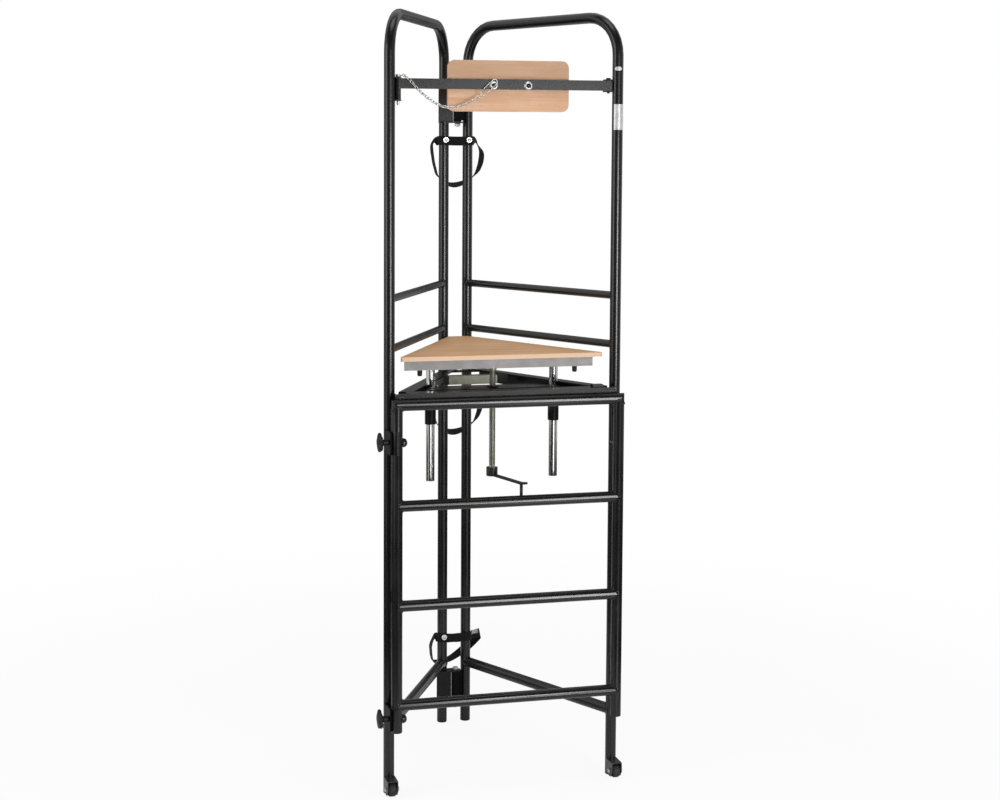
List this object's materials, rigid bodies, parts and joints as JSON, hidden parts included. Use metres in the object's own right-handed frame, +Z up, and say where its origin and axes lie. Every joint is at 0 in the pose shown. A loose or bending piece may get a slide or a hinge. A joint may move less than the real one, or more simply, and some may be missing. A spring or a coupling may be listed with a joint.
{
  "type": "post-mounted referee stand",
  "caption": "Folding steel referee stand that straps to a net post, with a ladder gate, a triangular plywood platform raised by a crank, and a swinging backrest.",
  "frame": {"origin": "on the floor, at the middle of the bounding box of the stand as it stands in use", "axes": "+Z up; -Y towards the front, where the ladder is; +Y towards the post; +X to the right as seen from the front"},
  "size_m": [0.7308, 0.7062, 2.2014],
  "materials": {
    "black_powder_coat": "satin black powder coat",
    "grey_paint": "satin grey paint on steel",
    "olive_zinc": "oiled steel with a dull olive grey tone",
    "bright_zinc": "chromed guide tubes on a plated cross bar",
    "zinc_plate": "bright zinc plate",
    "crank_steel": "satin black powder coat, worn at the grip",
    "beech_plywood": "clear lacquered beech plywood",
    "black_plastic": "matt black moulded plastic",
    "black_rubber": "matt black rubber",
    "black_webbing": "woven black polyester webbing"
  },
  "bodies": {
    "right_frame": {"frame_tube_right": "black_powder_coat", "wheel_fork_right": "black_powder_coat", "side_rung_upper_right": "black_powder_coat", "side_rung_middle_right": "black_powder_coat", "side_rung_lower_right": "black_powder_coat", "hinge_barrel_upper": "black_powder_coat", "hinge_barrel_lower": "black_powder_coat", "ladder_hinge_lug_upper": "black_powder_coat", "ladder_hinge_lug_lower": "black_powder_coat", "bar_clevis": "black_powder_coat", "tray_front_angle": "black_powder_coat", "tray_side_angle_left": "black_powder_coat", "tray_side_angle_right": "black_powder_coat", "guide_channel": "black_powder_coat", "tray_tab_right": "black_powder_coat", "tray_rear_tube": "olive_zinc", "hinge_bolt_upper": "zinc_plate", "hinge_bolt_lower": "zinc_plate", "foot_plug_front_right": "black_plastic", "foot_plug_rear_right": "black_plastic", "post_strap_upper": "black_webbing", "post_strap_middle": "black_webbing", "post_strap_lower": "black_webbing"},
    "left_frame": {"frame_tube_left": "black_powder_coat", "side_rung_upper_left": "black_powder_coat", "side_rung_middle_left": "black_powder_coat", "side_rung_lower_left": "black_powder_coat", "foot_plug_front_left": "black_plastic", "foot_plug_rear_left": "black_plastic", "wheel_fork_left": "black_powder_coat", "hinge_bracket_upper": "black_powder_coat", "hinge_bracket_lower": "black_powder_coat", "clamp_tab_upper": "black_powder_coat", "clamp_tab_lower": "black_powder_coat", "pin_bracket": "black_powder_coat", "tray_tab_left": "black_powder_coat"},
    "ladder": {"ladder_stile_left": "black_powder_coat", "ladder_stile_right": "black_powder_coat", "ladder_top_tube": "black_powder_coat", "ladder_rung_1": "black_powder_coat", "ladder_rung_2": "black_powder_coat", "ladder_rung_3": "black_powder_coat"},
    "backrest_bar": {"backrest_bar": "black_powder_coat", "backrest_board": "beech_plywood", "retaining_chain": "zinc_plate"},
    "drop_pin": {"drop_pin": "zinc_plate"},
    "knob_upper": {"star_knob_upper": "black_plastic"},
    "knob_lower": {"star_knob_lower": "black_plastic"},
    "wheel_left": {"wheel_left": "black_rubber"},
    "wheel_right": {"wheel_right": "black_rubber"},
    "platform": {"platform_board": "beech_plywood", "platform_front_angle": "grey_paint", "platform_side_angle_left": "grey_paint", "platform_side_angle_right": "grey_paint", "lift_carriage": "bright_zinc", "bumper_left": "black_rubber", "bumper_right": "black_rubber"},
    "crank": {"spindle": "olive_zinc", "crank": "crank_steel"}
  },
  "joints": [
    {"name": "frame_hinge", "type": "hinge", "parent": "right_frame", "child": "left_frame", "pos_m": [0.01495, 0.26073, 0.117], "axis": [0, 0, 1], "range_deg": [-60, 0], "deforming": ["post_strap_upper", "post_strap_middle", "post_strap_lower"]},
    {"name": "ladder_hinge", "type": "hinge", "parent": "right_frame", "child": "ladder", "pos_m": [0.34045, -0.29527, 0.24], "axis": [0, 0, 1], "range_deg": [0, 110]},
    {"name": "bar_hinge", "type": "hinge", "parent": "right_frame", "child": "backrest_bar", "pos_m": [0.31695, -0.26427, 1.99], "axis": [0, 0, 1], "range_deg": [0, 100]},
    {"name": "pin_slide", "type": "slide", "parent": "backrest_bar", "child": "drop_pin", "axis": [0, 0, 1], "range_m": [0, 0.09], "deforming": ["retaining_chain"]},
    {"name": "knob_upper_turn", "type": "hinge", "parent": "left_frame", "child": "knob_upper", "pos_m": [-0.35505, -0.32627, 1.006], "axis": [1, 0, 0], "continuous": true},
    {"name": "knob_lower_turn", "type": "hinge", "parent": "left_frame", "child": "knob_lower", "pos_m": [-0.35505, -0.32627, 0.231], "axis": [1, 0, 0], "continuous": true},
    {"name": "wheel_left_spin", "type": "hinge", "parent": "left_frame", "child": "wheel_left", "pos_m": [-0.31505, -0.30277, 0.023], "axis": [1, 0, 0], "continuous": true},
    {"name": "wheel_right_spin", "type": "hinge", "parent": "right_frame", "child": "wheel_right", "pos_m": [0.34495, -0.30277, 0.023], "axis": [1, 0, 0], "continuous": true},
    {"name": "platform_lift", "type": "slide", "parent": "right_frame", "child": "platform", "axis": [0, 0, 1], "range_m": [-0.0331, 0.1401]},
    {"name": "crank_turn", "type": "hinge", "parent": "platform", "child": "crank", "pos_m": [0.01495, -0.14927, 0.88], "axis": [0, 0, 1], "range_deg": [-2970, 12600]}
  ],
  "couplings": [
    {"joint": "platform_lift", "follows": "crank_turn", "m_per_rad": 0.00063662}
  ]
}
